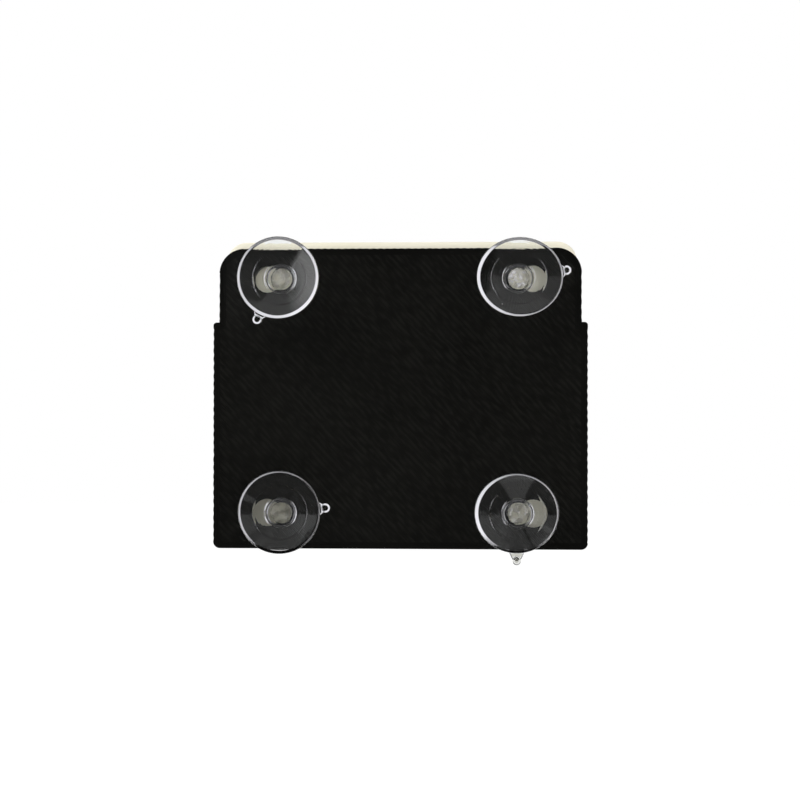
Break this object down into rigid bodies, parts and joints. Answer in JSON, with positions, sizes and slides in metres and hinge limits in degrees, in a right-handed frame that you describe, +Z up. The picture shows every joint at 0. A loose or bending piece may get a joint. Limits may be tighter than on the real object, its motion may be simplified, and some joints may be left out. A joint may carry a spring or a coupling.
{
  "type": "windscreen tag holder",
  "caption": "Flat radio tag in a black printed pocket that is open at the top, with clear suction cups in keyholes of its back plate to hold it on glass.",
  "frame": {"origin": "midway between the axes of the four suction cups, in the plane of the glass that their lips touch", "axes": "+Y from the glass into the pocket, +Z up, the way the tag lifts out, and +X to the right as seen through the glass"},
  "size_m": [0.094, 0.0297, 0.0816],
  "materials": {
    "printed_black": "printed in strands, slightly glossy",
    "clear_pvc": "clear soft PVC, polished",
    "tag_cream": "fine spark texture",
    "board_green": "solder mask over glass laminate",
    "spacer_foam": "closed-cell foam",
    "antenna_brass": "rolled sheet",
    "cell_metal": "satin nickel plate",
    "strap_nickel": "rolled nickel strip",
    "pad_foam": "open-cell foam",
    "can_tin": "tinned sheet",
    "chip_black": "moulded epoxy",
    "capacitor_metal": "drawn can on a black base",
    "component_body": "fired ceramic with tinned ends"
  },
  "bodies": {
    "holder": {"holder": "printed_black"},
    "suction_cup_top_left": {"suction_cup_top_left": "clear_pvc"},
    "suction_cup_top_right": {"suction_cup_top_right": "clear_pvc"},
    "suction_cup_bottom_left": {"suction_cup_bottom_left": "clear_pvc"},
    "suction_cup_bottom_right": {"suction_cup_bottom_right": "clear_pvc"},
    "tag": {"tag_back_case": "tag_cream", "tag_front_case": "tag_cream", "circuit_board": "board_green", "antenna_spacer": "spacer_foam", "antenna_plate": "antenna_brass", "antenna_feed": "antenna_brass", "lithium_cell": "cell_metal", "cell_strap_lid": "strap_nickel", "cell_strap_can": "strap_nickel", "cell_pad": "pad_foam", "shield_can": "can_tin", "radio_chip": "chip_black", "controller_chip": "chip_black", "crystal_can": "can_tin", "storage_capacitor": "capacitor_metal", "board_components": "component_body"}
  },
  "joints": [
    {"name": "tag_lift", "type": "slide", "parent": "holder", "child": "tag", "axis": [0, 0, 1], "range_m": [0, 0.08]},
    {"name": "keyhole_top_left", "type": "slide", "parent": "holder", "child": "suction_cup_top_left", "axis": [-1, 0, 0], "range_m": [0, 0.0036]},
    {"name": "keyhole_top_right", "type": "slide", "parent": "holder", "child": "suction_cup_top_right", "axis": [1, 0, 0], "range_m": [0, 0.0036]},
    {"name": "keyhole_bottom_left", "type": "slide", "parent": "holder", "child": "suction_cup_bottom_left", "axis": [-1, 0, 0], "range_m": [0, 0.0036]},
    {"name": "keyhole_bottom_right", "type": "slide", "parent": "holder", "child": "suction_cup_bottom_right", "axis": [1, 0, 0], "range_m": [0, 0.0036]}
  ]
}
